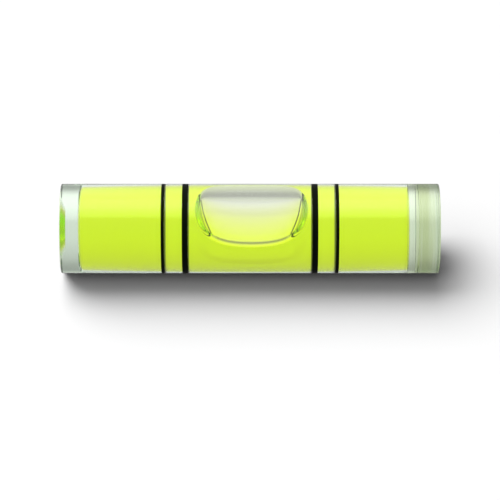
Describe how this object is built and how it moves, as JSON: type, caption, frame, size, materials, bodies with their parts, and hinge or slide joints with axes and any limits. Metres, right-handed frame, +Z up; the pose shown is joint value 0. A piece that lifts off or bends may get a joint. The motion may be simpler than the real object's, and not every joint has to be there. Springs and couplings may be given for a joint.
{
  "type": "tubular spirit level vial",
  "caption": "Clear acrylic tubular level vial with yellow-green spirit, a bubble in a barrel-shaped bore, a glued end plug and black reading lines round the outside.",
  "frame": {"origin": "middle of the whole vial, on its axis, half way between the two reading lines of each pair", "axes": "+X along the vial towards the plugged end, +Z up, the side that the bubble rises to"},
  "size_m": [0.04, 0.0094, 0.0094],
  "materials": {
    "clear_acrylic": "polished",
    "plug_acrylic": "gloss",
    "tinted_spirit": "gloss",
    "air": "gloss",
    "black_line_paint": "satin"
  },
  "bodies": {
    "vial": {"vial_body": "clear_acrylic", "end_plug": "plug_acrylic", "spirit_liquid": "tinted_spirit", "outer_line_left": "black_line_paint", "outer_line_right": "black_line_paint", "inner_line_left": "black_line_paint", "inner_line_right": "black_line_paint"},
    "bubble": {"air_bubble": "air"}
  },
  "joints": [
    {"name": "bubble_travel", "type": "hinge", "parent": "vial", "child": "bubble", "pos_m": [0, 0, -0.9966], "axis": [0, 1, 0], "range_deg": [-0.68, 0.58], "stiffness_Nm_per_rad": 0.02, "deforming": ["spirit_liquid"]}
  ]
}
